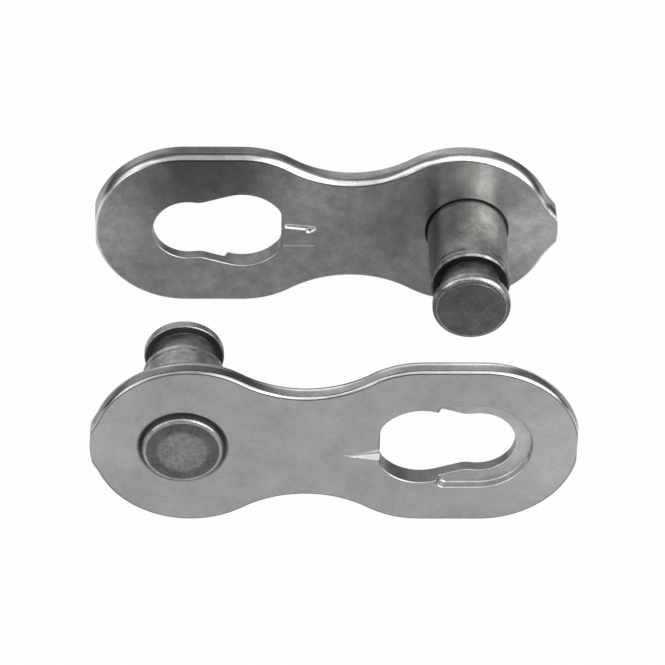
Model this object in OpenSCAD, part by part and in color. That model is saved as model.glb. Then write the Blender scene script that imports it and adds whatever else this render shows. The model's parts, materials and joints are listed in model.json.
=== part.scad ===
// Connecting link of a bicycle chain, shown opened.
// Two half-links of one kind stand apart and face each other. Each is a stamped figure-eight plate
// with a keyhole slot at one end and a riveted pin at the other. Closed, each pin's neck sits in the
// narrow end of the other plate's slot, and the pin's head drops into the recess round it.
// X runs along the chain, Y along the pins, Z up. Millimetres.

/* [Chain] */
// Distance between the two pins of the closed link
pitch = 12.7; // [12.5:0.05:13]
// Gap between the plates' inner faces when the link is locked
locked_gap = 4.52; // [4.3:0.02:5]
// Gap between the plates' inner faces with the halves apart, as shown
parted_gap = 13.9; // [10:0.1:20]

/* [Plates] */
// Thickness of a plate
plate_t = 0.88; // [0.8:0.01:1]
// Radius of a plate's round ends
lobe_r = 4.2; // [4:0.05:4.5]
// Half the height of the waist between the round ends
waist_half = 2.75; // [2.4:0.05:3.1]
// How far the pin end's arc is centred inboard of the pin
nose_inboard = 0.3; // [0.1:0.02:0.36]
// How far the slot end's arc is centred outboard of the seated pin
tail_outboard = 0.05; // [0:0.01:0.15]
// Half the width of the flat sheared across the pin end
nose_half = 0.85; // [0.7:0.05:1]
// Half the width of the nose where its flanks leave the round end
nose_root_half = 1.4; // [1.2:0.05:1.6]
// How far the rear plate's nose flat stands beyond its arc
rear_nose_land = 0.22; // [0.1:0.01:0.3]
// How far the front plate's nose flat stands beyond its arc
front_nose_land = 0.06; // [0:0.01:0.3]
// Depth of the flat sheared across the slot end
tail_trim = 0.13; // [0.05:0.01:0.2]
// Width of the rolled edge round the inner face, across the face
roll_width = 0.27; // [0.2:0.01:0.32]
// Depth of the rolled edge round the inner face, down the wall
roll_depth = 0.5; // [0.3:0.02:0.6]
// Size of the broken edge round the outer face
edge_break = 0.16; // [0.08:0.01:0.2]

/* [Slot] */
// Sliding travel from the slot's entry to its seat
lock_travel = 2.52; // [2.4:0.02:2.7]
// Overlap of the pin's head on the seat's edge
head_grip = 0.14; // [0.08:0.01:0.18]
// How far the seat's circle is centred inboard of the seated pin
seat_inboard = 0.08; // [0:0.01:0.12]
// How much the throat is narrower than the seat's radius
throat_pinch = 0.08; // [0.04:0.01:0.12]
// Radial clearance of the head in the slot's entry
entry_clearance = 0.29; // [0.2:0.01:0.35]
// How far short of the entry's own circle the flat at its end lies
entry_trim = 0.25; // [0.15:0.01:0.35]

/* [Recess] */
// Depth of the recess in the outer face
recess_depth = 0.35; // [0.25:0.01:0.4]
// Radial clearance of the head in the recess
recess_clearance = 0.52; // [0.4:0.02:0.6]
// Length of the recess from the seat towards the entry
recess_run = 1.62; // [1.5:0.02:1.8]
// Radius of the recess's inner corners
recess_corner = 0.3; // [0.2:0.05:0.4]

/* [Slot marks] */
// Length of the marks that run from the slot's flat end
mark_length = 1.4; // [1:0.1:1.8]
// Width of the wedge mark on the outer face, at the slot
wedge_width = 0.45; // [0.3:0.05:0.6]
// Depth of the wedge mark
wedge_depth = 0.12; // [0.06:0.02:0.2]
// Width of the straight mark on the inner face
groove_width = 0.22; // [0.14:0.02:0.3]
// Depth of the straight mark
groove_depth = 0.08; // [0.04:0.02:0.14]
// Distance of the wedge mark below the plate's centre line
wedge_drop = 0.48; // [0.3:0.02:0.6]
// Distance of the straight mark above the plate's centre line
groove_rise = 0.2; // [0.1:0.02:0.4]

/* [Pin] */
// Radius of the pin's body, which turns in the chain's bush
body_r = 1.79; // [1.75:0.01:1.85]
// Step down from the body to the bore that the shank is pressed into, on the radius
shank_step = 0.2; // [0.18:0.01:0.3]
// Oversize of the shank in its bore, on the radius
press_grip = 0.01; // [0.005:0.005:0.02]
// How much smaller the head is than the body, on the radius
head_undersize = 0.05; // [0.03:0.01:0.08]
// Radial play of the neck in the slot's throat
neck_play = 0.17; // [0.1:0.01:0.3]
// Spare length of the neck over the plate's thickness
neck_spare = 0.27; // [0.2:0.01:0.32]
// Size of the body's chamfer at its shoulder
shoulder_chamfer = 0.17; // [0.1:0.01:0.22]
// Length of the head, from the neck to the end face
head_length = 0.5; // [0.45:0.01:0.6]
// Length of the chamfer round the end face
tip_chamfer_length = 0.14; // [0.08:0.01:0.2]
// Width of the chamfer round the end face, on the radius
tip_chamfer_width = 0.3; // [0.15:0.01:0.4]

/* [Rivet] */
// How far the riveted end stands out of the outer face
rivet_rise = 0.32; // [0.2:0.01:0.4]
// Radius of the flat disc in the middle of the riveted end
disc_r = 1.02; // [0.8:0.02:1.2]
// Depth of the hollow between the disc and the rim
hollow_depth = 0.07; // [0.03:0.01:0.1]
// How much smaller the rim is than the body, on the radius
rim_undersize = 0.04; // [0.02:0.01:0.08]
// Radius of the rim's rounded edge
rim_round = 0.14; // [0.08:0.01:0.18]
// How much wider the countersink round the rivet is than the body, on the radius
outer_sink = 0.13; // [0.06:0.01:0.16]
// Width and depth of the groove at the pin's root
inner_sink = 0.07; // [0.04:0.01:0.1]

/* [Hidden] */

// Degrees between the points of an outline's arcs
arc_step = 5;
// Overshoot of a cut past the face it opens
over = 0.5;
// Facets that stand for a true circle
$fn = 96;

// Places along the plate: pin, seated pin, seat and entry of the slot, and the outline's round ends
pin_x = pitch / 2;
seated_x = -pitch / 2;
seat_x = seated_x + seat_inboard;
entry_x = seated_x + lock_travel;
nose_x = pin_x - nose_inboard;
tail_x = seated_x - tail_outboard;

// Radii of what fits together, worked out from the pin's body
head_r = body_r - head_undersize;
seat_r = head_r - head_grip;
throat_half = seat_r - throat_pinch;
neck_r = throat_half - neck_play;
entry_r = head_r + entry_clearance;
recess_r = head_r + recess_clearance;
bore_r = body_r - shank_step;
sink_r = body_r + outer_sink;
rim_r = body_r - rim_undersize;

// Heights along the pin, from the plate's inner face towards the tip
web_t = plate_t - recess_depth;
neck_end = locked_gap + web_t;
neck_start = neck_end - plate_t - neck_spare;
tip = neck_end + head_length;

// Where the throat meets the seat's circle, and the line from there that touches the entry's circle
throat_x = seat_x + sqrt(seat_r * seat_r - throat_half * throat_half);
throat_to_entry = norm([entry_x - throat_x, throat_half]);
flare_angle = 180 - atan2(throat_half, entry_x - throat_x) - acos(entry_r / throat_to_entry);
entry_end_x = entry_x + entry_r - entry_trim;

// The waist's arc touches the two lobes beside it, which have the same radius
waist_x = (nose_x + entry_x) / 2;
lobe_gap = (nose_x - entry_x) / 2;
waist_r = (waist_half * waist_half + lobe_gap * lobe_gap - lobe_r * lobe_r) / (2 * (lobe_r - waist_half));
waist_y = waist_half + waist_r;
waist_angle = atan2(waist_y, lobe_gap);

// How many steps an arc through an angle takes
function steps(angle) = max(1, ceil(abs(angle) / arc_step));

// Points of an arc round (x, y) from angle a to angle b in a count of steps, both ends included
function arc(x, y, r, a, b, count) =
    [for (i = [0 : count]) let (t = a + (b - a) * i / count) [x + r * cos(t), y + r * sin(t)]];

// Direction that the nose's upper flank faces, and the flank's distance from the centre of the round end
function flank_angle(land) =
    atan2(lobe_r + land - sqrt(lobe_r * lobe_r - nose_root_half * nose_root_half), nose_root_half - nose_half);
function flank_distance(land) = lobe_r * cos(asin(nose_root_half / lobe_r) - flank_angle(land));

// Upper half of the outline, drawn in by an inset, from the nose round to the tail
function upper_outline(land, inset) =
    let (
        r = lobe_r - inset,
        reach = lobe_r + land - inset,
        flank = flank_angle(land),
        distance = flank_distance(land) - inset,
        corner_y = (distance - reach * cos(flank)) / sin(flank),
        root = flank - acos(distance / r),
        tail_corner = acos((r - tail_trim) / r)
    )
    concat(
        [[nose_x + reach, corner_y]],
        arc(nose_x, 0, r, root, 180 - waist_angle, steps(180 - waist_angle)),
        arc(waist_x, waist_y, waist_r + inset, -waist_angle - arc_step, waist_angle - 180 + arc_step,
            steps(180 - 2 * waist_angle)),
        arc(entry_x, 0, r, waist_angle, 90, steps(90 - waist_angle)),
        arc(tail_x, 0, r, 90, 180 - tail_corner, steps(90))
    );

// The whole outline, anticlockwise; the lower half is the upper one turned over
function outline(land, inset) =
    let (half = upper_outline(land, inset))
    concat(half, [for (i = [len(half) - 1 : -1 : 0]) [half[i][0], -half[i][1]]]);

// Inset and height of each level of the edge, from the outer face to the inner one
edge_levels = [
    [edge_break, -plate_t],
    [0, -plate_t + edge_break],
    for (a = [0, 45, 90]) [roll_width * (1 - cos(a)), -roll_depth * (1 - sin(a))]
];

// Blank of a plate: its outline carried up through the levels of the edge. Both faces are strips of
// four-sided pieces that join each point to its mirror image across the centre line.
module blank(land) {
    rings = [for (level = edge_levels) [for (p = outline(land, level[0])) [p[0], p[1], level[1]]]];
    count = len(rings[0]);
    top = (len(rings) - 1) * count;
    sides = [
        for (j = [0 : len(rings) - 2], i = [0 : count - 1])
            let (k = (i + 1) % count)
            [j * count + i, (j + 1) * count + i, (j + 1) * count + k, j * count + k]
    ];
    outer_face = [for (i = [0 : count / 2 - 2]) [i, i + 1, count - 2 - i, count - 1 - i]];
    inner_face = [for (q = outer_face) [top + q[3], top + q[2], top + q[1], top + q[0]]];
    polyhedron(points = [for (ring = rings) each ring], faces = concat(outer_face, sides, inner_face));
}

// Keyhole of the slot: the seat's circle, the flare and the entry's circle with its flat end
module slot_shape() {
    translate([seat_x, 0]) circle(r = seat_r);
    intersection() {
        translate([entry_x, 0]) circle(r = entry_r);
        translate([entry_end_x - 2 * entry_r, -entry_r]) square(2 * entry_r);
    }
    flare = [entry_x + entry_r * cos(flare_angle), entry_r * sin(flare_angle)];
    polygon([
        [seat_x, 0],
        [throat_x, -throat_half],
        [flare[0], -flare[1]],
        [entry_x, 0],
        flare,
        [throat_x, throat_half]
    ]);
}

// Recess round the seat: a round end, straight sides and rounded corners
module recess_shape() {
    circle(r = recess_r);
    translate([0, -recess_r]) square([recess_run - recess_corner, 2 * recess_r]);
    translate([0, recess_corner - recess_r]) square([recess_run, 2 * (recess_r - recess_corner)]);
    for (side = [-1, 1])
        translate([recess_run - recess_corner, side * (recess_r - recess_corner)]) circle(r = recess_corner);
}

// Hole for the pin's shank: countersunk outside for the rivet, with a shallow seat for the shoulder inside
module pin_hole() {
    rotate_extrude() polygon([
        [0, -plate_t - over],
        [sink_r, -plate_t - over],
        [sink_r, -plate_t],
        [bore_r, sink_r - bore_r - plate_t],
        [bore_r, -inner_sink],
        [body_r, -inner_sink],
        [body_r + inner_sink, 0],
        [body_r + inner_sink, over],
        [0, over]
    ]);
}

// Marks that run from the slot's flat end: a wedge outside and a straight groove inside
module slot_marks() {
    translate([entry_end_x, -wedge_drop, -plate_t - over])
        linear_extrude(wedge_depth + over)
            polygon([[-over, -wedge_width / 2], [0, -wedge_width / 2], [mark_length, 0],
                     [0, wedge_width / 2], [-over, wedge_width / 2]]);
    translate([entry_end_x - over, groove_rise - groove_width / 2, -groove_depth])
        cube([mark_length + over, groove_width, groove_depth + over]);
}

// Plate in its own frame: pin along +Z, inner face at height 0
module plate(land) {
    difference() {
        blank(land);
        translate([0, 0, -plate_t - over]) linear_extrude(plate_t + 2 * over) slot_shape();
        translate([seat_x, 0, -plate_t - over]) linear_extrude(recess_depth + over) recess_shape();
        translate([pin_x, 0, 0]) pin_hole();
        slot_marks();
    }
}

// Pin in the plate's frame: rivet, shank, body, neck and head turned about one axis
module pin() {
    back = -plate_t - rivet_rise;
    translate([pin_x, 0, 0]) rotate_extrude() polygon([
        [0, back],
        [disc_r, back],
        [disc_r + hollow_depth, back + hollow_depth],
        [rim_r - 2 * rim_round, back + hollow_depth],
        for (a = [180 : 30 : 360]) [rim_r - rim_round + rim_round * cos(a), back + rim_round + rim_round * sin(a)],
        [rim_r, sink_r + press_grip - rim_r - plate_t],
        [bore_r + press_grip, sink_r - bore_r - plate_t],
        [bore_r + press_grip, -inner_sink],
        [body_r - inner_sink, -inner_sink],
        [body_r, 0],
        [body_r, neck_start - shoulder_chamfer],
        [body_r - shoulder_chamfer, neck_start],
        [neck_r, neck_start],
        [neck_r, neck_end],
        [head_r, neck_end],
        [head_r, tip - tip_chamfer_length],
        [head_r - tip_chamfer_width, tip],
        [0, tip]
    ]);
}

// The rear half's pin points at the front half
module at_rear() {
    translate([0, parted_gap / 2, lobe_r]) rotate([90, 0, 0]) children();
}

// The front half is the rear one turned half round about Z
module at_front() {
    rotate([0, 0, 180]) at_rear() children();
}

module rear_plate() {
    color("darkgray") at_rear() plate(rear_nose_land);
}

module rear_pin() {
    color("dimgray") at_rear() pin();
}

module front_plate() {
    color("silver") at_front() plate(front_nose_land);
}

module front_pin() {
    color("gray") at_front() pin();
}

rear_plate();
rear_pin();
front_plate();
front_pin();
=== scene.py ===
import bpy
import json
import math
import numpy as np
from mathutils import Matrix, Vector


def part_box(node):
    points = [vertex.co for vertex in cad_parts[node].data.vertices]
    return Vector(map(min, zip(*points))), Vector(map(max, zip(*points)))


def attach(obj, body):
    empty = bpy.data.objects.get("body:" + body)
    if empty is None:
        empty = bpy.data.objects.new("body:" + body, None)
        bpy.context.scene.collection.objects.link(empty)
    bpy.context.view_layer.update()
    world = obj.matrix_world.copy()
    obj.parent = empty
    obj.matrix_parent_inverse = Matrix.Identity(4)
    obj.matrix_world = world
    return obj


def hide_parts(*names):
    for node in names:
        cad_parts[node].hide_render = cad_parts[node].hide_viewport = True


# Opened connecting link of a bicycle chain: two stamped half-links that face each other.
# Shapes are worked out in millimetres in a plate's own frame, with the pin along +Z and the inner
# face at height 0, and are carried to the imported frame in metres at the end.

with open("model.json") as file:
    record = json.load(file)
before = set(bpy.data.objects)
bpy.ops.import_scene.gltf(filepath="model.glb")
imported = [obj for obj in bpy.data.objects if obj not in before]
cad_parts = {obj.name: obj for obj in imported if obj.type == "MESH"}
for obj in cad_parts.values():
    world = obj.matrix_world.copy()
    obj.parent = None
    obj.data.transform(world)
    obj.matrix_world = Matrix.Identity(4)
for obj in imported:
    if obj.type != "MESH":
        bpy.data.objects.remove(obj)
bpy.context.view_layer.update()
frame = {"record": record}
print("frame loaded")

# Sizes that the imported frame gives
mm = 1000.0                  # millimetres in a metre
plateLow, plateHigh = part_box("rear_plate")
pinMount = frame["record"]["mounts"][0]
pinX = pinMount["pos_m"][0] * mm
pinRadius = pinMount["dims"]["r_mm"]
lobeRadius = (plateHigh.z - plateLow.z) * mm / 2
plateThickness = (plateHigh.y - plateLow.y) * mm
innerFaceY = plateLow.y * mm

# Outline of a plate
outline = {
    "noseInboard": 0.3,      # pin end's arc, inboard of the pin
    "tailOutboard": 0.05,    # slot end's arc, outboard of the seated pin
    "waistHalf": 2.75,       # half the height of the waist
    "noseHalf": 0.85,        # half the shear across the pin end
    "noseRootHalf": 1.5,     # half the nose where its flanks meet the arc
    "noseFillet": 2.5,       # hollow between a flank and the arc
    "noseSpare": 0.45,       # how far the nose runs on before it is sheared off
    "noseRound": 0.3,
    "tailTrim": 0.13,        # depth of the shear across the slot end
    "rearLand": 0.22,        # how far the rear plate's nose stands beyond its arc
    "frontLand": 0.06,       # the same on the front plate
    "rollWidth": 0.27,       # rolled edge round the inner face, across the face
    "rollDepth": 0.5,        # and down the wall
    "rollSteps": 14,
    "edgeBreak": 0.16,       # broken edge round the outer face
    "breakSteps": 8,
    "arcStep": 2.5,          # degrees between points of an arc
    "landAngle": 30,         # half the arc that shears the nose, and its steps
    "landSteps": 48,
    "smoothAngle": 20,       # edges that turn by more degrees stay sharp
}

# Keyhole slot and the recess round its seat
slot = {
    "travel": 2.52,          # from the entry to the seated pin
    "seatInboard": 0.08,     # seat's arc, inboard of the seated pin
    "seatRadius": 1.6,
    "throatHalf": 1.52,
    "entryRadius": 2.03,
    "entryTrim": 0.25,       # flat at the entry's end
    "recessDepth": 0.35,
    "recessRadius": 2.26,
    "recessRun": 1.62,
    "recessCorner": 0.34,
    "recessDraft": 0.03,     # lean of the recess's wall, and of its end
    "recessEndDraft": 0.15,
    "seatSteps": 96,         # steps of the arcs: seat, entry, recess and the recess's corners
    "entrySteps": 40,
    "recessSteps": 90,
    "cornerSteps": 8,
    "ease": 0.44,            # length over which the slot's corners turn
    "spacing": 0.06,         # between points of the eased outline
    "lip": 0.065,            # rounding of the slot's and the recess's edges
    "lipSteps": 5,
    "lipAngle": 30,          # edges that turn by more degrees are rounded
}

# Struck marks beside the slot's entry. Heights are from the slot's middle line
marks = {
    "wedgeLength": 1.4,      # wedge on the outer face, from the slot to its tip
    "wedgeTipDrop": 0.54,    # how far the tip lies under the middle line
    "wedgeTop": 0.34,        # the same at the slot, for the wedge's upper side, valley and lower side
    "wedgeValley": 0.38,
    "wedgeBottom": 0.74,
    "wedgeDepth": 0.24,
    "scratchTop": 0.1,       # scratch over the wedge, which runs to the same tip
    "scratchValley": 0.12,
    "scratchBottom": 0.27,
    "scratchDepth": 0.13,
    "troughStart": 0.1,      # short trough on the inner face, this far from the slot
    "troughLength": 1.5,
    "troughWidth": 0.36,
    "troughDepth": 0.12,
    "troughRise": 0.27,      # its height at the slot, and its fall to the far end
    "troughFall": 0.14,
    "dimpleRadius": 0.3,     # dimple at the trough's far end
    "dimpleDepth": 0.12,
    "dimpleFall": 0.06,
    "ballRings": 17,         # points of the half circle that the rod and the ball are turned from
    "ballSides": 32,
    "printStart": 0.08,      # flat prints of the striking tool, this far from the slot
    "printLength": 1.45,
    "printDepth": 0.018,
    "printSlope": 0.02,
    "outerPrint": (-0.48, 0.53),     # bottom and top on each face
    "innerPrint": (-0.87, 0.2),
}

# Turned pin and its riveted end
pin = {
    "headUndersize": 0.05,   # of the head's radius, against the body's
    "neckRadius": 1.35,
    "neckStart": 3.9,
    "neckEnd": 5.05,
    "headLength": 0.5,
    "tipRoundWide": 0.24,    # rounding of the tip's edge, across and along
    "tipRoundLong": 0.2,
    "ringRadius": 1.43,      # fine ring round the tip's face
    "ringStep": 0.02,
    "shoulderRound": 0.15,
    "grooveBefore": 0.42,    # shallow turned groove, this far before the shoulder
    "grooveWidth": 0.16,
    "grooveDepth": 0.012,
    "boreStep": 0.2,         # how much narrower the shank is than the body
    "rivetRise": 0.32,       # rivet's height over the outer face, and its rim against the body's radius
    "rimUndersize": 0.04,
    "rimRound": 0.1,
    "rimStart": 285,         # angle at which the rivet's rim leaves the cone
    "discRadius": 1.12,      # flat middle of the rivet
    "discInset": 0.12,       # extra ring this far inside its edge
    "coneFall": 0.07,        # how far the cone round it falls
    "coneSteps": 5,
    "outerSink": 0.13,       # countersink at the outer face, past the body's radius
    "innerSink": 0.07,       # depth of the body's seat in the inner face
    "pressGrip": 0.01,       # how much thicker the shank is than its bore
    "soften": 0.035,         # rounding of the turned corners
    "arcTurn": 15,           # degrees between points of the rim's and the shoulder's arcs
    "tipTurn": 10,           # and of the tip's arc
    "sides": 180,
    "smoothAngle": 32,       # edges that turn by more degrees stay sharp
    "wear": ((4, 0.3, 2), (13, 0.2, 0), (23, 0.15, 1)),     # waves round the shoulder: count, size, phase
}

over = 0.5                   # how far a cutter passes the face that it opens
entryX = slot["travel"] - pinX
entryEnd = entryX + slot["entryRadius"] - slot["entryTrim"]
seatX = slot["seatInboard"] - pinX
noseX = pinX - outline["noseInboard"]
tailX = -pinX - outline["tailOutboard"]


# Points of a circle of a radius round (x, y), from one angle to another in equal steps
def arcPoints(x, y, radius, start, end, count):
    a = np.radians(np.linspace(start, end, count + 1))
    return np.stack([x + radius * np.cos(a), y + radius * np.sin(a)], 1)


# Angles in radians, from one number of degrees to another in steps of some degrees, both ends included
def turns(start, end, step):
    return np.radians(np.arange(start, end + 1, step))


# Number of steps for an arc of some degrees
def stepsOf(angle):
    return max(1, math.ceil(abs(angle) / outline["arcStep"]))


# Arc that touches the two lines meeting at a corner, as points from the first line to the second
def roundCorner(before, corner, after, radius, count=6):
    p = (before - corner) / np.linalg.norm(before - corner)
    q = (after - corner) / np.linalg.norm(after - corner)
    half = math.acos(np.clip(p @ q, -1, 1)) / 2
    reach = radius / math.tan(half)
    middle = corner + (p + q) / np.linalg.norm(p + q) * radius / math.sin(half)
    start, end = corner + p * reach - middle, corner + q * reach - middle
    turn = math.pi - 2 * half
    t = np.linspace(0, 1, count)[:, None]
    return middle + (np.sin((1 - t) * turn) * start + np.sin(t * turn) * end) / math.sin(turn)


# Closed outline of a plate before its ends are sheared, anticlockwise from the nose. The pin end and the
# slot end are circles, the waist is a circle that touches both, and each flank of the nose is a line that
# a hollow arc joins to the pin end's circle
def plateOutline(land):
    waistHalf = outline["waistHalf"]
    gap = (noseX - entryX) / 2
    waistRadius = (waistHalf ** 2 + gap ** 2 - lobeRadius ** 2) / (2 * (lobeRadius - waistHalf))
    waistY = waistHalf + waistRadius
    waistAngle = math.degrees(math.atan2(waistY, gap))
    rootHalf = outline["noseRootHalf"]
    root = np.array([math.sqrt(lobeRadius ** 2 - rootHalf ** 2), rootHalf])
    corner = np.array([lobeRadius + land, outline["noseHalf"]])
    along = (corner - root) / np.linalg.norm(corner - root)
    across = np.array([-along[1], along[0]])
    fillet = outline["noseFillet"]
    base = root + across * fillet
    b = along @ base
    middle = base + along * (math.sqrt(b * b - base @ base + (lobeRadius + fillet) ** 2) - b)
    start = math.degrees(math.atan2(middle[1], middle[0]))
    touch = math.degrees(math.atan2(-across[1], -across[0])) % 360
    mirror = np.array([1, -1])
    end = corner + along * outline["noseSpare"]
    nose = roundCorner(end * mirror, end, root, outline["noseRound"])
    hollow = arcPoints(*middle, fillet, touch, start + 180, stepsOf(touch - start - 180))
    lobe = arcPoints(0, 0, lobeRadius, start, 180 - waistAngle, stepsOf(180 - waistAngle - start))
    pinEnd = np.concatenate([nose, hollow[:-1], lobe]) + [noseX, 0]
    waist = arcPoints((noseX + entryX) / 2, waistY, waistRadius,
                      -waistAngle, waistAngle - 180, stepsOf(180 - 2 * waistAngle))
    shoulder = arcPoints(entryX, 0, lobeRadius, waistAngle, 90, stepsOf(90 - waistAngle))
    tail = arcPoints(tailX, 0, lobeRadius, 90, 180, stepsOf(90))
    half = np.concatenate([pinEnd, waist[1:-1], shoulder, tail])
    return np.concatenate([half, half[-2::-1] * mirror])


# Outward normals of an anticlockwise loop: the mean direction of the two sides at a point, turned right
def loopNormals(loop):
    side = np.roll(loop, -1, 0) - loop
    side /= np.linalg.norm(side, axis=1)[:, None]
    mean = side + np.roll(side, 1, 0)
    mean /= np.linalg.norm(mean, axis=1)[:, None]
    return np.stack([mean[:, 1], -mean[:, 0]], 1)


# Closed loop in even steps, each point the mean of its neighbours within a length, so that corners turn
def eased(loop, spacing, length):
    ends = np.concatenate([loop, loop[:1]])
    way = np.concatenate([[0], np.cumsum(np.linalg.norm(np.diff(ends, axis=0), axis=1))])
    count = round(way[-1] / spacing)
    at = np.linspace(0, way[-1], count, endpoint=False)
    even = np.stack([np.interp(at, way, ends[:, k]) for k in (0, 1)], 1)
    reach = round(length / spacing / 2)
    return sum(np.roll(even, k, 0) for k in range(-reach, reach + 1)) / (2 * reach + 1)


# Closed outline of the keyhole: the seat's circle, a line on each side that touches the entry's circle,
# and the flat at the entry's end
def slotOutline():
    kink = math.degrees(math.asin(slot["throatHalf"] / slot["seatRadius"]))
    seat = arcPoints(seatX, 0, slot["seatRadius"], kink, 360 - kink, slot["seatSteps"])
    run = np.array([entryX, 0]) - seat[0]
    flare = 180 - math.degrees(math.atan2(-run[1], run[0]))
    flare -= math.degrees(math.acos(slot["entryRadius"] / np.linalg.norm(run)))
    flat = math.degrees(math.acos((slot["entryRadius"] - slot["entryTrim"]) / slot["entryRadius"]))
    lower = arcPoints(entryX, 0, slot["entryRadius"], -flare, -flat, slot["entrySteps"])
    upper = arcPoints(entryX, 0, slot["entryRadius"], flat, flare, slot["entrySteps"])
    return eased(np.concatenate([seat, lower, upper]), slot["spacing"], slot["ease"])


# Closed outline of the recess, grown all round and more at its end: a round end at the seat, straight
# sides, rounded corners
def recessOutline(grown, endGrown):
    r = slot["recessRadius"] + grown
    c = slot["recessCorner"]
    endX = seatX + slot["recessRun"] + endGrown
    roundEnd = arcPoints(seatX, 0, r, 90, 270, slot["recessSteps"])
    lower = arcPoints(endX - c, c - r, c, -90, 0, slot["cornerSteps"])
    upper = arcPoints(endX - c, r - c, c, 0, 90, slot["cornerSteps"])
    return np.concatenate([roundEnd, lower, upper])


# Surface of revolution: profile points (radius, height) turned about Z, with a pole at each end whose
# radius is 0. The faces point outwards for a profile that runs upwards
def lathe(profile, sides):
    profile = np.array(profile, float)
    a = np.linspace(0, 2 * np.pi, sides, endpoint=False)
    inner = profile[1:-1]
    ring = np.stack([np.outer(inner[:, 0], np.cos(a)), np.outer(inner[:, 0], np.sin(a)),
                     np.repeat(inner[:, 1:], sides, 1)], 2).reshape(-1, 3)
    verts = np.concatenate([[[0, 0, profile[0, 1]]], ring, [[0, 0, profile[-1, 1]]]])
    j, i = np.meshgrid(np.arange(len(inner) - 1), np.arange(sides), indexing="ij")
    k = (i + 1) % sides
    low, high = 1 + j * sides, 1 + (j + 1) * sides
    quads = np.stack([low + i, low + k, high + k, high + i], 2)
    i = np.arange(sides)
    k = (i + 1) % sides
    last = len(verts) - 1
    bottom = np.stack([np.zeros(sides, int), 1 + k, 1 + i], 1)
    top = np.stack([np.full(sides, last), last - sides + i, last - sides + k], 1)
    return verts, quads.reshape(-1, 4).tolist() + bottom.tolist() + top.tolist()


# Solid between closed loops stacked at their heights, with a flat face at each end
def rings(loops, heights):
    count = len(loops[0])
    verts = np.concatenate([np.column_stack([loop, np.full(count, h)]) for loop, h in zip(loops, heights)])
    j, i = np.meshgrid(np.arange(len(loops) - 1), np.arange(count), indexing="ij")
    k = (i + 1) % count
    low, high = j * count, (j + 1) * count
    quads = np.stack([low + i, low + k, high + k, high + i], 2)
    top = (len(loops) - 1) * count
    ends = [list(range(count))[::-1], list(range(top, top + count))]
    return verts, quads.reshape(-1, 4).tolist() + ends


# Object in the scene from points and faces
def makeObject(name, verts, faces):
    mesh = bpy.data.meshes.new(name)
    mesh.from_pydata(np.asarray(verts).tolist(), [], faces)
    mesh.update()
    obj = bpy.data.objects.new(name, mesh)
    bpy.context.scene.collection.objects.link(obj)
    return obj


# Replaces an object's mesh by what its modifiers make of it
def applyModifiers(obj):
    bpy.context.view_layer.update()
    graph = bpy.context.evaluated_depsgraph_get()
    mesh = bpy.data.meshes.new_from_object(obj.evaluated_get(graph), preserve_all_data_layers=True,
                                           depsgraph=graph)
    obj.modifiers.clear()
    obj.data = mesh


# Takes each cutter's solid away from an object, one after the other
def cut(obj, cutters):
    for verts, faces in cutters:
        cutter = makeObject("cutter", verts, faces)
        boolean = obj.modifiers.new("cut", "BOOLEAN")
        boolean.operation = "DIFFERENCE"
        boolean.solver = "EXACT"
        boolean.object = cutter
        applyModifiers(obj)
        bpy.data.objects.remove(cutter)


nearlyStraight = math.radians(86)     # half the angle at a corner that is left as it is
sideShare = 0.45                      # most that an arc takes of the shorter side beside it


# A lathe profile with each corner turned into a small arc, no longer than its shorter side allows
def softened(profile, radius, count=4):
    points = [np.array(p, float) for p in profile]
    result = [points[0]]
    for before, corner, after in zip(points, points[1:], points[2:]):
        p, q = before - corner, after - corner
        half = math.acos(np.clip(p @ q / np.linalg.norm(p) / np.linalg.norm(q), -1, 1)) / 2
        if half > nearlyStraight:
            result.append(corner)
            continue
        reach = min(radius / math.tan(half), sideShare * min(np.linalg.norm(p), np.linalg.norm(q)))
        result.extend(roundCorner(before, corner, after, reach * math.tan(half), count))
    result.append(points[-1])
    return result


# Bore for the shank, with the countersink outside and the shoulder's seat inside
def pinHole():
    bore = pinRadius - pin["boreStep"]
    sink = pinRadius + pin["outerSink"]
    t = plateThickness
    profile = [(0, -t - over), (sink, -t - over), (sink, -t), (bore, sink - bore - t),
               (bore, -pin["innerSink"]), (pinRadius, -pin["innerSink"]),
               (pinRadius + pin["innerSink"], 0), (pinRadius + pin["innerSink"], over), (0, over)]
    verts, faces = lathe(profile, pin["sides"])
    return verts + [pinX, 0, 0], faces


# Upright solid on a closed loop, from one height to another
def prism(loop, low, high):
    return rings([loop, loop], [low, high])


# Recess: its outline grows evenly from the floor to beyond the outer face
def recessSolid():
    depth = slot["recessDepth"]
    floor = depth - plateThickness
    reach = 1 + over / depth
    wide = recessOutline(slot["recessDraft"] * reach, slot["recessEndDraft"] * reach)
    return rings([wide, recessOutline(0, 0)], [floor - depth * reach, floor])


# Blocks that shear the ends off: a flat one at the tail, and one hollowed to an arc at the nose
def shears(land):
    far = lobeRadius
    tailFlat = tailX - lobeRadius + outline["tailTrim"]
    tailBlock = np.array([[tailFlat - far, -far], [tailFlat, -far], [tailFlat, far], [tailFlat - far, far]])
    angle = outline["landAngle"]
    arc = arcPoints(noseX, 0, lobeRadius + land, angle, -angle, outline["landSteps"])
    noseBlock = np.concatenate([arc, [[noseX + 2 * far, arc[-1, 1]], [noseX + 2 * far, arc[0, 1]]]])
    low, high = -plateThickness - over, over
    return [prism(tailBlock, low, high), prism(noseBlock, low, high)]


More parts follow.
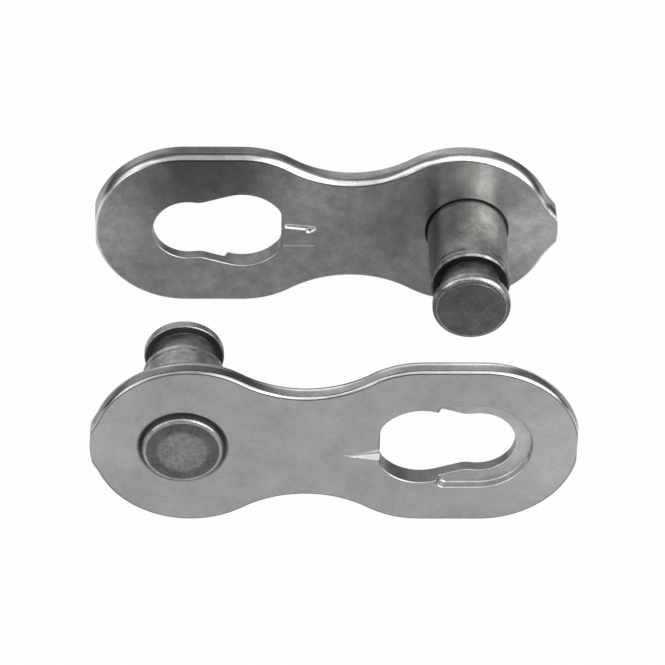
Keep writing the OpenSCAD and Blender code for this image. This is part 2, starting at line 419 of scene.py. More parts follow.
# Notch struck in the outer face: two flat sides that meet in a valley and deepen from the tip to the slot.
# Its lines run on past the slot's edge, and its sides as far over the face as the valley lies under it
def notch(kind):
    grow = 1 + over / marks["wedgeLength"]
    tip = np.array([entryEnd + marks["wedgeLength"], -marks["wedgeTipDrop"], -plateThickness])

    def carried(drop, deep):
        atSlot = np.array([entryEnd, -drop, deep - plateThickness])
        return tip + (atSlot - tip) * grow

    valley = carried(marks[kind + "Valley"], marks[kind + "Depth"])
    top, bottom = carried(marks[kind + "Top"], 0), carried(marks[kind + "Bottom"], 0)
    verts = np.array([tip, valley, 2 * top - valley, 2 * bottom - valley])
    return verts, [[0, 2, 1], [0, 1, 3], [0, 3, 2], [1, 2, 3]]


# Ball and rod for the trough: a circle's arc turned about the rod, whose axis runs from start to end
def capsule(start, end, radius):
    start, end = Vector(start), Vector(end)
    length = (end - start).length
    a = np.radians(np.linspace(-90, 90, marks["ballRings"]))
    profile = [(radius * math.cos(k), radius * math.sin(k) + (length if k > 0 else 0)) for k in a]
    profile[0], profile[-1] = (0, -radius), (0, length + radius)
    verts, faces = lathe(profile, marks["ballSides"])
    turn = np.array((end - start).to_track_quat("Z", "Y").to_matrix()) if length else np.eye(3)
    return verts @ turn.T + np.array(start), faces


# Trough struck in the inner face, and the dimple at its far end
def troughMark():
    half, depth = marks["troughWidth"] / 2, marks["troughDepth"]
    radius = (half * half + depth * depth) / (2 * depth)
    start = entryEnd + marks["troughStart"] + half
    end = entryEnd + marks["troughStart"] + marks["troughLength"] - half
    rise, fall = marks["troughRise"], marks["troughFall"]
    rod = capsule((start, rise, radius - depth), (end, rise - fall, radius - depth), radius)
    ballRadius = marks["dimpleRadius"]
    middle = (end - ballRadius / 2, rise - fall - marks["dimpleFall"], ballRadius - marks["dimpleDepth"])
    ball = capsule(middle, middle, ballRadius)
    return [rod, ball]


# Faint flat print of the striking tool between two heights: a rectangle that grows from its floor to the
# same distance beyond the face
def printMark(low, high, onInnerFace):
    depth, slope = marks["printDepth"], marks["printSlope"]
    start = entryEnd + marks["printStart"]
    end = start + marks["printLength"]

    def loopAt(grown):
        return np.array([[start - grown, low - grown], [end + grown, low - grown],
                         [end + grown, high + grown], [start - grown, high + grown]])

    floor, mouth = loopAt(0), loopAt(2 * slope)
    if onInnerFace:
        return rings([floor, mouth], [-depth, depth])
    return rings([mouth, floor], [-plateThickness - depth, depth - plateThickness])


# Plate: the outline carried from the outer face round the broken edge, up the wall and round the rolled
# edge, each level drawn in along the outline's normals, less the slot, the recess and the pin's hole. The
# lips are rounded before the ends are sheared and the marks are struck
def makePlate(name, land):
    t = plateThickness
    b = outline["edgeBreak"]
    levels = []
    for a in np.radians(np.linspace(90, 0, outline["breakSteps"] + 1)):
        levels.append((b * (1 - math.cos(a)), -t + b * (1 - math.sin(a))))
    for a in np.radians(np.linspace(0, 90, outline["rollSteps"] + 1)):
        levels.append((outline["rollWidth"] * (1 - math.cos(a)), -outline["rollDepth"] * (1 - math.sin(a))))
    loop = plateOutline(land)
    normals = loopNormals(loop)
    obj = makeObject(name, *rings([loop - normals * inset for inset, _ in levels], [h for _, h in levels]))
    cut(obj, [prism(slotOutline(), -t - over, over), recessSolid(), pinHole()])
    bevel = obj.modifiers.new("lips", "BEVEL")
    bevel.width = slot["lip"]
    bevel.segments = slot["lipSteps"]
    bevel.limit_method = "ANGLE"
    bevel.angle_limit = math.radians(slot["lipAngle"])
    bevel.use_clamp_overlap = False
    bevel.miter_outer = "MITER_ARC"
    applyModifiers(obj)
    prints = [printMark(*marks["innerPrint"], True), printMark(*marks["outerPrint"], False)]
    cut(obj, shears(land) + prints + [notch("wedge"), notch("scratch")] + troughMark())
    return obj


# Profile of the pin from the rivet to the tip, as points (radius, height): the rivet's disc, its cone and
# rim, the shank, the body with its groove, the shoulder, the neck, the head and the ring on its face
def pinProfile():
    t = plateThickness
    soft = pin["soften"]
    bore = pinRadius - pin["boreStep"]
    grip = pin["pressGrip"]
    sink = pinRadius + pin["outerSink"]
    rim = pinRadius - pin["rimUndersize"]
    head = pinRadius - pin["headUndersize"]
    back = -t - pin["rivetRise"]
    rr = pin["rimRound"]
    rimMiddle = back + pin["coneFall"] + rr
    tip = pin["neckEnd"] + pin["headLength"]
    shoulder, neck, shoulderRound = pin["neckStart"], pin["neckRadius"], pin["shoulderRound"]
    groove = shoulder - pin["grooveBefore"]
    halfGroove = pin["grooveWidth"] / 2
    rimArc = [(rim - rr + rr * math.cos(a), rimMiddle + rr * math.sin(a))
              for a in turns(pin["rimStart"], 360, pin["arcTurn"])]
    disc = np.array([pin["discRadius"], back])
    slope = [disc + (np.array(rimArc[0]) - disc) * k for k in np.linspace(0, 1, pin["coneSteps"] + 1)]
    inner = [(0, back), (pin["discRadius"] - pin["discInset"], back)]
    cone = softened(inner + slope + [rimArc[1]], soft)
    shank = softened([
        rimArc[-1],
        (rim, sink + grip - rim - t),
        (bore + grip, sink - bore - t),
        (bore + grip, -pin["innerSink"]),
        (pinRadius - pin["innerSink"], -pin["innerSink"]),
        (pinRadius, 0),
        (pinRadius, groove - halfGroove),
        (pinRadius - pin["grooveDepth"], groove),
        (pinRadius, groove + halfGroove),
        (pinRadius, shoulder - shoulderRound),
    ], soft)
    shoulderArc = [(pinRadius - shoulderRound * (1 - math.cos(a)),
                    shoulder - shoulderRound * (1 - math.sin(a)))
                   for a in turns(pin["arcTurn"], 90, pin["arcTurn"])]
    neckLine = softened([
        shoulderArc[-1],
        (neck, shoulder),
        (neck, pin["neckEnd"]),
        (head, pin["neckEnd"]),
        (head, tip - pin["tipRoundLong"]),
    ], soft * 2)
    tipArc = [(head - pin["tipRoundWide"] * (1 - math.cos(a)),
               tip - pin["tipRoundLong"] * (1 - math.sin(a)) - pin["ringStep"] * math.sin(a))
              for a in turns(pin["tipTurn"], 90, pin["tipTurn"])]
    ring, step = pin["ringRadius"], pin["ringStep"]
    face = [(ring + step, tip - step), (ring, tip), (0, tip)]
    return cone[:-1] + rimArc[1:-1] + shank + shoulderArc + neckLine[1:] + tipArc + face


# Pin: its profile turned about its axis, which stands at pinX
def makePin(name):
    verts, faces = lathe(pinProfile(), pin["sides"])
    return makeObject(name, verts + [pinX, 0, 0], faces)


# Carries a piece from the plate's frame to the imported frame, in metres, and rides it on its body
def place(obj, turned, body, node, slotName):
    toRow = Matrix.Translation((0, innerFaceY, lobeRadius)) @ Matrix.Rotation(math.radians(90), 4, "X")
    if turned:
        toRow = Matrix.Rotation(math.pi, 4, "Z") @ toRow
    obj.data.transform(Matrix.Scale(1 / mm, 4) @ toRow)
    for polygon in obj.data.polygons:
        polygon.use_smooth = True
    obj.data.update()
    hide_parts(node)
    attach(obj, body)


# Keeps edges that turn by more than an angle sharp, and lets the larger faces hold their own normals
def smoothByWeight(obj, angle):
    obj.data.set_sharp_from_angle(angle=math.radians(angle))
    weighted = obj.modifiers.new("weighted", "WEIGHTED_NORMAL")
    weighted.keep_sharp = True
    weighted.mode = "FACE_AREA"
    weighted.weight = 100    # the most that large faces can count
    applyModifiers(obj)


# Finish of each zone of a plate, with painted shade in some: share of the material's own colour, roughness,
# and how far it is brushed
plateZones = {
    "outerFace": (0.98, 0.42, 1.0),
    # the inner face's lower share is partly its smoother tumbled finish and partly painted shade of the gap
    # between the halves that it reflects
    "innerFace": (0.62, 0.25, 0.2),
    "edge": (1.45, 0.2, 0.3),
    "outerEdge": (1.15, 0.17, 0.3),
    "side": (0.82, 0.3, 0.2),
    "lip": (1.2, 0.33, 0.1),
    "wall": (0.68, 0.4, 0.1),
    "recessFloor": (1.0, 0.45, 0.5),
    # painted shade: the countersink's and the seat ring's low tones stand for the shade in these hollows
    "sink": (0.6, 0.5, 0.0),
    "seatRing": (0.25, 0.5, 0.0),
    "recessWall": (1.1, 0.4, 0.1),
    "sheared": (1.0, 0.4, 0.1),
}

# Where a plate's zones end. Lengths in millimetres, normals as their share across the plate
plateLimits = {
    "flat": 0.97,                # normal of a flat face
    "upright": 0.12,             # normals of the wall between the edges, and of a wall in the slot
    "steep": 0.5,
    "skin": 0.005,               # depth under a print's floor that still counts as the face
    "slotReach": 2.7,            # half the box round the slot, and how far it passes the entry's end
    "entryReach": 0.12,
    "shadeStart": 0.05,          # the recess's wall and lip, by their distance from the seat past the
    "shadeNormal": 0.35,         # entry's radius, are darker where their normal points up by less than this
    "shadeTone": 0.5,
    "shearUpright": 0.02,        # sheared ends: share of the normal across the plate and along it
    "shearAlong": 0.96,
    "tailShear": 3.9,            # and their distance from the middles of the end circles
    "noseShear": 4.1,
    "sinkReach": 2.1,            # round the pin's hole
    "seatRingDepth": 0.1,
    "innerFade": (0.04, 0.01),   # share of the thickness over which the edge fades into a face
    "outerFade": (0.965, 0.99),
    "crease": (0.98, 0.998),     # painted dark line where the edge meets the outer face, a painted reflection of a dark horizon
    "creaseTone": 0.35,
    "wall": 0.6,                 # normal of the wall that darkens towards both ends
    "noseFade": (2.2, 3.8),      # beyond the middle of the pin end, and of the slot end
    "tailFade": (2.4, 4.0),
    "endShade": 0.45,
}

# Finish of each zone of a pin, with painted shade in some, in the same way
pinZones = {
    "body": (1.0, 0.34, 0.3),
    "edge": (0.95, 0.26, 0.1),
    "shoulderEdge": (0.68, 0.36, 0.2),
    "turnedGroove": (0.75, 0.4, 0.2),
    # the neck, the shoulder's flat and the head's underside: low tones that are painted shade in the groove
    # round the neck
    "neck": (0.7, 0.45, 0.1),
    "shoulderFace": (0.08, 0.5, 0.1),
    "headBack": (0.22, 0.5, 0.1),
    "tipFace": (0.38, 0.42, 0.0),
    "rivetFace": (0.62, 0.45, 0.0),
    "rivetCone": (0.33, 0.4, 0.0),
}

# Where a pin's zones end. Lengths in millimetres, normals as their share along the axis
pinLimits = {
    "slanted": (0.1, 0.97),      # normal of a rounded corner
    "clear": 0.1,                # height over either face of the plate, below which a corner isn't bright
    "neckUnder": 0.03,           # the neck's zone, past its two ends and inside the body's radius
    "neckOver": 0.01,
    "inside": 0.12,
    "rimShare": 0.6,             # of the shoulder's rounding, to both sides of its middle
    "ledge": 0.03,               # the shoulder's flat: height, normal, and how far inside the body's radius
    "ledgeNormal": 0.8,
    "ledgeInside": 0.1,
    "neckRoot": (-0.01, 0.12),   # height of the fillet at the neck's root over the shoulder, which gets painted shade
    "headReach": 0.06,           # underside of the head, which gets painted shade, by its height from the neck's end
    "lift": (0.1, 1.1),          # painted light: rims brighten between these heights over the axis, and are painted darker below
    "lowTone": 0.38,
    "liftTone": 0.67,
    "tipDepth": 0.05,            # the tip's face, down to this depth and past its ring
    "tipSpare": 0.1,
    "rivetStart": 0.05,          # the rivet's end, from here past the outer face
    "rivetInside": 0.2,
    "coneFade": (-0.1, 0.02),    # past the disc's edge, where the disc's finish becomes the cone's
}


# Middle and normal of each face, and the face and the point of each of its corners
def faceArrays(mesh):
    count = len(mesh.polygons)
    middle, normal = np.empty(count * 3), np.empty(count * 3)
    total = np.empty(count, int)
    mesh.polygons.foreach_get("center", middle)
    mesh.polygons.foreach_get("normal", normal)
    mesh.polygons.foreach_get("loop_total", total)
    corner = np.empty(len(mesh.loops), int)
    mesh.loops.foreach_get("vertex_index", corner)
    point = np.empty(len(mesh.vertices) * 3)
    mesh.vertices.foreach_get("co", point)
    face = np.repeat(np.arange(count), total)
    return middle.reshape(-1, 3), normal.reshape(-1, 3), face, point.reshape(-1, 3)[corner]


# Stores a finish, with its painted shade and light, for each corner of a mesh, for the material to read
def writeFinish(mesh, values):
    layer = mesh.attributes.new("finish", "FLOAT_VECTOR", "CORNER")
    layer.data.foreach_set("vector", np.ascontiguousarray(values, np.float32).ravel())


# Share from 0 at one value of x to 1 at another, in a straight line
def ramp(x, start, end):
    return np.clip((x - start) / (end - start), 0, 1)


# The same in a smooth step, 3 t^2 - 2 t^3
def smoothStep(x, start, end):
    t = ramp(x, start, end)
    return t * t * (3 - 2 * t)


# Zone of each face of a plate by its place and its normal. On the edge the finish of each corner fades into
# the faces' with its depth, has a painted dark line beside the outer face as a painted reflection, and on
# the wall darkens towards both ends. The countersink and the ring round the pin's seat get painted shade
def finishAndShadePlate(obj):
    middle, normal, face, point = faceArrays(obj.data)
    u, v, h = middle.T
    t = plateThickness
    limit = plateLimits
    across = abs(normal[:, 2])
    fromSeat = np.hypot(u - seatX, v)
    zone = {name: np.array(values) for name, values in plateZones.items()}
    values = np.tile(zone["edge"], (len(u), 1))
    values[h < outline["edgeBreak"] - t] = zone["outerEdge"]
    values[across < limit["upright"]] = zone["side"]
    skin = marks["printDepth"] + limit["skin"]
    facesOut = normal[:, 2] < -limit["flat"]
    flatOut = facesOut & (h < skin - t)
    flatIn = (normal[:, 2] > limit["flat"]) & (h > -skin)
    rest = ~flatOut & ~flatIn
    inSlot = (abs(v) < limit["slotReach"]) & (u > seatX - limit["slotReach"])
    inSlot &= (u < entryEnd + limit["entryReach"]) & rest
    values[inSlot] = zone["lip"]
    steep = inSlot & (across < limit["steep"])
    values[steep] = zone["wall"]
    values[steep & (h < slot["recessDepth"] - t) & (fromSeat > slot["entryRadius"])] = zone["recessWall"]
    shaded = inSlot & (fromSeat > slot["entryRadius"] + limit["shadeStart"])
    shaded &= normal[:, 1] < limit["shadeNormal"]
    values[shaded, 0] *= limit["shadeTone"]
    values[inSlot & facesOut] = zone["recessFloor"]
    sheared = (u < tailX - limit["tailShear"]) | (u > noseX + limit["noseShear"])
    sheared &= (across < limit["shearUpright"]) & (abs(normal[:, 0]) > limit["shearAlong"])
    values[sheared] = zone["sheared"]
    # painted shade in the countersink round the rivet, and a darker painted shadow in the ring round the
    # pin's seat
    shadedSink = (np.hypot(u - pinX, v) < limit["sinkReach"]) & rest
    values[shadedSink] = zone["sink"]
    values[shadedSink & (h > -pin["innerSink"] - limit["seatRingDepth"])] = zone["seatRing"]
    values[flatOut] = zone["outerFace"]
    values[flatIn] = zone["innerFace"]
    onEdge = ~(inSlot | sheared | shadedSink | flatOut | flatIn)[face]
    depth = -point[:, 2] / t
    corner = values[face]
    toIn = ramp(depth, *limit["innerFade"])[:, None]
    toOut = ramp(depth, *limit["outerFade"])[:, None]
    faded = corner * (1 - toIn - toOut) + zone["innerFace"] * toIn + zone["outerFace"] * toOut
    # painted dark line beside the outer face, standing in for the reflection of a dark horizon
    paintedDarkLineStart, paintedDarkLineEnd = limit["crease"]
    faded[onEdge & (depth > paintedDarkLineStart) & (depth < paintedDarkLineEnd), 0] *= limit["creaseTone"]
    wall = onEdge & (across[face] < limit["wall"])
    along = point[:, 0]
    toEnd = smoothStep(along - noseX, *limit["noseFade"]) + smoothStep(tailX - along, *limit["tailFade"])
    faded[wall, 0] *= (1 - limit["endShade"] * toEnd)[wall]
    corner[onEdge] = faded[onEdge]
    writeFinish(obj.data, corner)


# Zone of each face of a pin by its height and its distance from the axis. The shoulder's rim and the groove
# are worn in waves round the axis, and rims get painted light towards the top and painted shade below. The
# neck, the shoulder's flat, the fillet at the neck's root and the head's underside get painted shade. On the
# rivet the disc's finish becomes the cone's with the distance of each corner
def finishAndShadePin(obj):
    middle, normal, face, point = faceArrays(obj.data)
    h = middle[:, 2]
    r = np.hypot(middle[:, 0] - pinX, middle[:, 1])
    limit = pinLimits
    tip = pin["neckEnd"] + pin["headLength"]
    fromShoulder = h - pin["neckStart"]
    inside = r < pinRadius - limit["inside"]
    flattest, steepest = limit["slanted"]
    slanted = (abs(normal[:, 2]) > flattest) & (abs(normal[:, 2]) < steepest)
    rounded = slanted & ((h > limit["clear"]) | (h < limit["clear"] - plateThickness))
    values = np.tile(np.array(pinZones["body"]), (len(h), 1))
    values[rounded] = pinZones["edge"]
    inNeck = (h > pin["neckStart"] - limit["neckUnder"]) & (h < pin["neckEnd"] + limit["neckOver"])
    # painted shade in the neck
    values[inNeck & inside] = pinZones["neck"]
    grooved = abs(fromShoulder + pin["grooveBefore"]) < pin["grooveWidth"]
    values[grooved] = pinZones["turnedGroove"]
    halfRound = pin["shoulderRound"] / 2
    rim = (abs(fromShoulder + halfRound) < pin["shoulderRound"] * limit["rimShare"]) & slanted
    values[rim] = pinZones["shoulderEdge"]
    turn = np.arctan2(middle[:, 1], middle[:, 0] - pinX)
    waves = sum(size * np.sin(count * turn + phase) for count, size, phase in pin["wear"])
    values[grooved | rim, 0] *= (1 + waves)[grooved | rim]
    # painted shade on the shoulder's flat and on the fillet at the neck's root
    ledge = (abs(fromShoulder) < limit["ledge"]) & (normal[:, 2] > limit["ledgeNormal"])
    values[ledge & (r < pinRadius - limit["ledgeInside"])] = pinZones["shoulderFace"]
    rootStart, rootEnd = limit["neckRoot"]
    values[(fromShoulder > rootStart) & (fromShoulder < rootEnd) & slanted] = pinZones["shoulderFace"]
    # painted shade under the head
    underHead = (abs(h - pin["neckEnd"]) < limit["headReach"]) & inside & (normal[:, 2] < -flattest)
    values[underHead] = pinZones["headBack"]
    # painted light on rounded corners towards the top, painted shade on the lower ones
    bright = rounded & ~underHead
    lift = smoothStep(middle[:, 1], *limit["lift"])
    values[bright, 0] *= (limit["lowTone"] + limit["liftTone"] * lift)[bright]
    onTip = (h > tip - limit["tipDepth"]) & (r < pin["ringRadius"] + limit["tipSpare"])
    values[onTip] = pinZones["tipFace"]
    riveted = (h < -plateThickness - limit["rivetStart"]) & (r < pinRadius - limit["rivetInside"])
    corner = values[face]
    far = np.hypot(point[:, 0] - pinX, point[:, 1])
    toCone = ramp(far - pin["discRadius"], *limit["coneFade"])[:, None]
    faded = (1 - toCone) * pinZones["rivetFace"] + toCone * pinZones["rivetCone"]
    corner[riveted[face]] = faded[riveted[face]]
    writeFinish(obj.data, corner)


# Adds a node to a tree. Each input is given its value, or another node's output that is linked to it
def addNode(tree, kind, inputs, operation=None, smooth=False):
    node = tree.nodes.new("ShaderNode" + kind)
    if operation:
        node.operation = operation
    if smooth:
        node.interpolation_type = "SMOOTHSTEP"
    for key, given in inputs.items():
        if isinstance(given, bpy.types.NodeSocket):
            tree.links.new(given, node.inputs[key])
        else:
            node.inputs[key].default_value = given
    return node


# Output of a Math node for two numbers or outputs
def combined(tree, operation, a, b):
    return addNode(tree, "Math", {0: a, 1: b}, operation).outputs[0]


noiseMean = 0.5              # of what Noise Texture puts out
dullnessShare = 1.5          # how much more the blotches change the roughness than the tone


# Shared surface finish: fine lines along one direction, an even grain and slow blotches. It puts out a
# height for the relief, and a tone and a roughness factor round 1. Spacing and sizes are in metres
def makeFinishGroup():
    group = bpy.data.node_groups.new("steelFinish", "ShaderNodeTree")
    inputs = {"Vector": "Vector", "Line Spacing": "Vector", "Grain Size": "Float", "Blotch Size": "Float",
              "Lines": "Float", "Contrast": "Float", "Blotches": "Float"}
    for name, kind in inputs.items():
        group.interface.new_socket(name=name, in_out="INPUT", socket_type="NodeSocket" + kind)
    for name in ("Height", "Tone", "Dullness"):
        group.interface.new_socket(name=name, in_out="OUTPUT", socket_type="NodeSocketFloat")
    given = group.nodes.new("NodeGroupInput").outputs
    result = group.nodes.new("NodeGroupOutput").inputs

    # Noise on the vector divided by a size
    def noise(size, detail, rough):
        shrunk = addNode(group, "VectorMath", {0: given["Vector"], 1: given[size]}, "DIVIDE")
        texture = addNode(group, "TexNoise", {"Vector": shrunk.outputs["Vector"], "Scale": 1.0,
                                              "Detail": detail, "Roughness": rough})
        return texture.outputs["Fac"]

    # How far a noise is from its mean, times a strength
    def varied(value, strength):
        return combined(group, "MULTIPLY", combined(group, "SUBTRACT", value, noiseMean), strength)

    lines = noise("Line Spacing", detail=3, rough=0.6)
    grain = noise("Grain Size", detail=2, rough=0.6)
    blotch = noise("Blotch Size", detail=5, rough=0.62)
    height = addNode(group, "Mix", {"Factor": given["Lines"], "A": grain, "B": lines}).outputs["Result"]
    uneven = varied(blotch, given["Blotches"])
    fine = varied(height, given["Contrast"])
    duller = combined(group, "MULTIPLY", uneven, dullnessShare)
    group.links.new(height, result["Height"])
    group.links.new(combined(group, "ADD", combined(group, "ADD", uneven, fine), 1.0), result["Tone"])
    group.links.new(combined(group, "SUBTRACT", 1.0, duller), result["Dullness"])
    return group


finish = makeFinishGroup()

# Stamped plate: brushed outer face, smoother inner face, burnished edges, with painted reflections and
# painted light in patches on its faces. Lengths in metres
plateFinish = {
    "color": (0.405, 0.402, 0.395),
    "lineSpacing": (0.0003, 0.0003, 0.00005),
    "grainSize": 0.00009,
    "blotchSize": 0.0012,
    "lines": 0.7,
    "contrast": 0.6,
    "blotches": 0.5,
    "relief": 0.0000022,
    "mottling": 0.5,
    # Painted reflections on the inner faces, as patches of painted light and painted shade: X and Z of the
    # middle, radius, and share of the colour in the middle
    "stains": (
        (-0.0055, 0.0075, 0.0036, 0.34),
        (-0.0100, 0.0040, 0.0032, 1.3),
        (0.0034, 0.0048, 0.0026, 0.65),
        (0.0065, 0.0078, 0.0028, 1.6),
        (0.0098, 0.0040, 0.0034, 1.5),
        (-0.0008, 0.0062, 0.0026, 1.3),
    ),
    # Painted light towards the ends of both faces, in the same way
    "shades": (
        (0.0105, 0.0040, 0.0050, 1.26),
        (-0.0108, 0.0045, 0.0040, 1.12),
    ),
}

# Turned pin, dulled by tumbling, in the same way
pinFinish = {
    "color": (0.37, 0.366, 0.359),
    "lineSpacing": (0.0002, 0.0016, 0.0002),
    "grainSize": 0.0001,
    "blotchSize": 0.0006,
    "lines": 0.5,
    "contrast": 1.2,
    "blotches": 1.1,
    "relief": 0.000008,
}

# How the painted patches and the mottling lie: scales are per metre, lengths in metres
patchAndMottleLook = {
    "core": 0.2,                 # share of a patch's radius that has its full tone
    "wander": 0.003,             # how far noise moves their outlines
    "wanderScale": 500.0,
    "wanderDetail": 4.0,
    "cloudScale": 1600.0,        # mottling
    "cloudDetail": 5.0,
    "cloudRoughness": 0.6,
}


# A tone times soft round patches of painted light and shade, each a smooth step from its own share in the
# middle to 1 at its radius
def paintedPatches(tree, vector, stains, tone):
    shift = patchAndMottleLook["wander"] * noiseMean
    for x, z, radius, share in stains:
        away = addNode(tree, "VectorMath", {0: vector, 1: (x + shift, 0.0, z + shift)}, "DISTANCE")
        step = addNode(tree, "MapRange", {
            "Value": away.outputs["Value"],
            "From Min": radius * patchAndMottleLook["core"],
            "From Max": radius,
            "To Min": share,
        }, smooth=True)
        tone = combined(tree, "MULTIPLY", tone, step.outputs["Result"])
    return tone


# Tone of a plate: mottling and the painted reflections, left out where the surface is brushed, then the
# painted light towards the ends. Noise puts the patches out of round
def mottleAndPaintedLight(tree, settings, vector, brushed):
    reach = patchAndMottleLook["wander"]
    wander = addNode(tree, "TexNoise", {
        "Vector": vector,
        "Scale": patchAndMottleLook["wanderScale"],
        "Detail": patchAndMottleLook["wanderDetail"],
    })
    moved = addNode(tree, "VectorMath", {
        0: wander.outputs["Color"],
        1: (reach, 0.0, reach),
        2: vector,
    }, "MULTIPLY_ADD")
    flat = addNode(tree, "VectorMath", {0: moved.outputs["Vector"], 1: (1.0, 0.0, 1.0)}, "MULTIPLY")
    cloud = addNode(tree, "TexNoise", {
        "Vector": vector,
        "Scale": patchAndMottleLook["cloudScale"],
        "Detail": patchAndMottleLook["cloudDetail"],
        "Roughness": patchAndMottleLook["cloudRoughness"],
    })
    mottled = addNode(tree, "MapRange", {
        "Value": cloud.outputs["Fac"],
        "To Min": 1 - settings["mottling"],
        "To Max": 1 + settings["mottling"],
    })
    place = flat.outputs["Vector"]
    tone = paintedPatches(tree, place, settings["stains"], mottled.outputs["Result"])
    mixed = addNode(tree, "Mix", {"Factor": brushed, "A": tone, "B": 1.0})
    return paintedPatches(tree, place, settings["shades"], mixed.outputs["Result"])


# Steel whose colour and roughness are the settings' times the piece's own finish attribute, which also holds
# painted shade and painted light, with the finish group's unevenness on both
def makeSteel(materialName, settings):
    material = bpy.data.materials.new(materialName)
    material.use_nodes = True
    tree = material.node_tree
    shader = tree.nodes["Principled BSDF"]
    shader.inputs["Metallic"].default_value = 1.0
    vector = addNode(tree, "TexCoord", {}).outputs["Object"]
    zone = addNode(tree, "Attribute", {})
    zone.attribute_name = "finish"
    share = addNode(tree, "SeparateXYZ", {"Vector": zone.outputs["Vector"]}).outputs
    surface = addNode(tree, "Group", {})
    surface.node_tree = finish
    for name, setting in (("Line Spacing", "lineSpacing"), ("Grain Size", "grainSize"),
                          ("Blotch Size", "blotchSize"), ("Contrast", "contrast"), ("Blotches", "blotches")):
        surface.inputs[name].default_value = settings[setting]
    tree.links.new(vector, surface.inputs["Vector"])
    tree.links.new(combined(tree, "MULTIPLY", share["Z"], settings["lines"]), surface.inputs["Lines"])
    tone = combined(tree, "MULTIPLY", share["X"], surface.outputs["Tone"])
    # painted reflections and painted light on a plate's faces, as patches
    if "stains" in settings:
        tone = combined(tree, "MULTIPLY", tone, mottleAndPaintedLight(tree, settings, vector, share["Z"]))
    tint = addNode(tree, "VectorMath", {0: settings["color"], "Scale": tone}, "SCALE")
    rough = combined(tree, "MULTIPLY", share["Y"], surface.outputs["Dullness"])
    bump = addNode(tree, "Bump", {"Distance": settings["relief"], "Height": surface.outputs["Height"]})
    tree.links.new(tint.outputs["Vector"], shader.inputs["Base Color"])
    tree.links.new(rough, shader.inputs["Roughness"])
    tree.links.new(bump.outputs["Normal"], shader.inputs["Normal"])
    return material


plateSteel = makeSteel("plateSteel", plateFinish)
pinSteel = makeSteel("pinSteel", pinFinish)

# The front half is the rear one turned half round
halves = [
    {"body": "rear_half", "side": "rear", "turned": False, "land": outline["rearLand"]},
    {"body": "front_half", "side": "front", "turned": True, "land": outline["frontLand"]},
]
for half in halves:
    plateObj = makePlate(half["side"] + "PlateSteel", half["land"])
    smoothByWeight(plateObj, outline["smoothAngle"])
    finishAndShadePlate(plateObj)
    plateObj.data.materials.clear()      # the cutters leave empty ones
    plateObj.data.materials.append(plateSteel)
    place(plateObj, half["turned"], half["body"], half["side"] + "_plate", "plate_steel")
    pinObj = makePin(half["side"] + "PinSteel")
    smoothByWeight(pinObj, pin["smoothAngle"])
    finishAndShadePin(pinObj)
    pinObj.data.materials.append(pinSteel)
    place(pinObj, half["turned"], half["body"], half["side"] + "_pin", "pin_steel")
    faceCounts = len(plateObj.data.polygons), len(pinObj.data.polygons)
    print(half["side"], "half made, faces of plate and pin:", faceCounts)

# Camera: the photograph's own view, fitted to the outlines. Angles in degrees, lengths in millimetres
view = {
    "elevation": 39.99, "yaw": 1.60, "roll": -1.10, "distance": 189.2,
    "pixelsPerMm": 22.07, "shiftX": -0.262, "shiftY": 4.606, "pictureWidth": 665, "sensor": 36.0,
    "clipStart": 0.01, "clipEnd": 10,        # metres
}


# The camera's axes are the view's right, up and back, turned by yaw about Z, by elevation, then by roll
def addCamera():
    e, y, r = (math.radians(view[k]) for k in ("elevation", "yaw", "roll"))
    tilt = Matrix(((1, 0, 0), (0, math.sin(e), math.cos(e)), (0, -math.cos(e), math.sin(e))))
    spin = Matrix.Rotation(y, 3, "Z")
    rolled = Matrix.Rotation(r, 3, "Z")
    toCamera = rolled @ tilt @ spin
    offset = Vector((view["shiftX"], view["shiftY"], -view["distance"]))
    aim = Vector((0, innerFaceY, lobeRadius))
    location = (aim - toCamera.transposed() @ offset) / mm
    data = bpy.data.cameras.new("photoCamera")
    data.sensor_width = view["sensor"]
    data.lens = view["pixelsPerMm"] * view["distance"] * view["sensor"] / view["pictureWidth"]
    data.clip_start = view["clipStart"]
    data.clip_end = view["clipEnd"]
    camera = bpy.data.objects.new("photoCamera", data)
    camera.matrix_world = Matrix.Translation(location) @ toCamera.transposed().to_4x4()
    bpy.context.scene.collection.objects.link(camera)
    bpy.context.scene.camera = camera


addCamera()
print("camera set")


# Floor: pale paper round the object on a darker table. The camera sees it white, and so in part does the
# metal near it
floorLook = {
    "half": 1.5, "paper": 0.6, "table": 0.1,
    "paperEnds": 0.03, "tableStarts": 0.09,      # metres from the origin
    "whiteToCamera": 0.98, "whiteToMetal": 0.3,
}


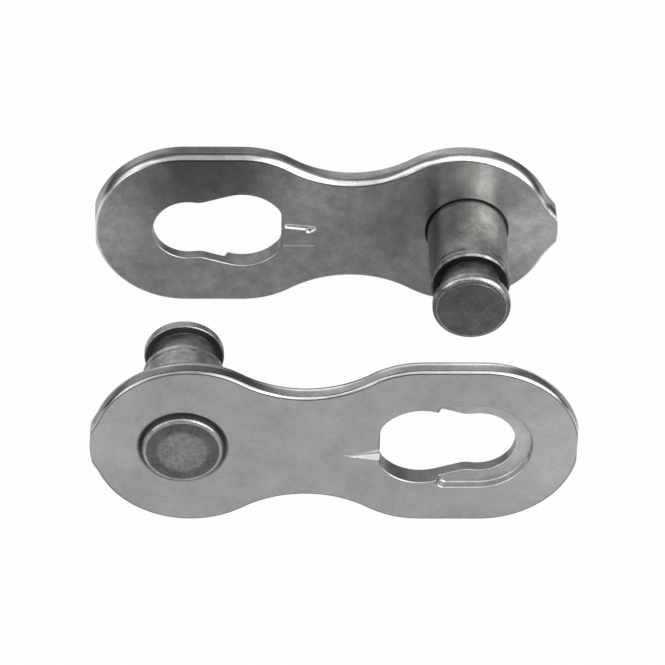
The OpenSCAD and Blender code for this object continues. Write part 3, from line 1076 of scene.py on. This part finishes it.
# The paper's share is a smooth step of the distance from the origin, and the glow's share is what the camera
# and the metal see of the white
def addFloor():
    half = floorLook["half"]
    corners = [(-half, -half, 0), (half, -half, 0), (half, half, 0), (-half, half, 0)]
    floor = makeObject("floor", corners, [[0, 1, 2, 3]])
    material = bpy.data.materials.new("paleFloor")
    material.use_nodes = True
    tree = material.node_tree
    tree.nodes.clear()
    place = addNode(tree, "TexCoord", {})
    distance = addNode(tree, "VectorMath", {0: place.outputs["Object"]}, "LENGTH")
    near = addNode(tree, "MapRange", {
        "Value": distance.outputs["Value"],
        "From Min": floorLook["tableStarts"],
        "From Max": floorLook["paperEnds"],
    }, smooth=True).outputs["Result"]
    tone = addNode(tree, "Mix", {"Factor": near, "A": floorLook["table"], "B": floorLook["paper"]})
    paper = addNode(tree, "BsdfDiffuse", {"Color": tone.outputs["Result"]})
    glow = addNode(tree, "Emission", {"Strength": 1.0})
    ray = addNode(tree, "LightPath", {}).outputs
    nearMetal = combined(tree, "MULTIPLY", ray["Is Glossy Ray"], near)
    toMetal = combined(tree, "MULTIPLY", nearMetal, floorLook["whiteToMetal"])
    toCamera = combined(tree, "MULTIPLY", ray["Is Camera Ray"], floorLook["whiteToCamera"])
    white = combined(tree, "ADD", toCamera, toMetal)
    mixed = addNode(tree, "MixShader", {"Fac": white, 1: paper.outputs[0], 2: glow.outputs[0]})
    addNode(tree, "OutputMaterial", {"Surface": mixed.outputs[0]})
    floor.data.materials.append(material)


# Studio light as soft patches of a white tent, each with a rim that fades: the side it lies on (0 in front,
# 90 right, 180 behind), its height, where its fade starts and ends in degrees, and how bright it is
tent = {
    "overhead": {"side": 10, "height": 60, "full": 30, "none": 44, "bright": 1.1},
    "keySoftbox": {"side": 30, "height": 33, "full": 9, "none": 22, "bright": 1.8},
    "rightSoftbox": {"side": 75, "height": 38, "full": 20, "none": 38, "bright": 1.8},
    "leftSoftbox": {"side": 285, "height": 38, "full": 14, "none": 28, "bright": 1.5},
    "backdrop": {"side": 180, "height": 35, "full": 14, "none": 28, "bright": 0.5},
    "backLow": {"side": 180, "height": 8, "full": 8, "none": 26, "bright": 0.6},
    "backLeft": {"side": 210, "height": 20, "full": 8, "none": 24, "bright": 0.8},
    "lowRight": {"side": 42, "height": 8, "full": 10, "none": 26, "bright": 4.2},
    "lowLeft": {"side": 318, "height": 6, "full": 8, "none": 24, "bright": 2.4},
}
room = {"low": 0.06, "high": 0.2, "rise": 0.2}     # brightness at the horizon and above the rise


# Sum of the tent's patches and the room, which is dark at the horizon. Each patch is a smooth step of the
# cosine of the angle between a direction and the patch's middle. The camera sees white
def addWorld():
    world = bpy.data.worlds.new("studio")
    bpy.context.scene.world = world
    world.use_nodes = True
    tree = world.node_tree
    direction = addNode(tree, "TexCoord", {}).outputs["Generated"]
    split = addNode(tree, "SeparateXYZ", {"Vector": direction})
    walls = addNode(tree, "MapRange", {
        "Value": split.outputs["Z"],
        "From Max": room["rise"],
        "To Min": room["low"],
        "To Max": room["high"],
    }, smooth=True)
    walls.name = "room"
    total = walls.outputs["Result"]
    for name, patch in tent.items():
        side, height = math.radians(patch["side"]), math.radians(patch["height"])
        middle = (math.sin(side) * math.cos(height), -math.cos(side) * math.cos(height), math.sin(height))
        dot = addNode(tree, "VectorMath", {0: direction, 1: middle}, "DOT_PRODUCT")
        step = addNode(tree, "MapRange", {
            "Value": dot.outputs["Value"],
            "From Min": math.cos(math.radians(patch["none"])),
            "From Max": math.cos(math.radians(patch["full"])),
            "To Max": patch["bright"],
        }, smooth=True)
        step.name = name
        total = combined(tree, "ADD", total, step.outputs["Result"])
    background = tree.nodes["Background"]
    background.inputs["Color"].default_value = (1, 1, 1, 1)
    tree.links.new(total, background.inputs["Strength"])
    white = addNode(tree, "Background", {"Color": (1, 1, 1, 1)})
    ray = addNode(tree, "LightPath", {}).outputs
    shown = addNode(tree, "MixShader", {
        "Fac": ray["Is Camera Ray"],
        1: background.outputs[0],
        2: white.outputs[0],
    })
    tree.links.new(shown.outputs[0], tree.nodes["World Output"].inputs["Surface"])


addFloor()
addWorld()
bpy.context.scene.view_settings.view_transform = "Standard"
print("lights set")
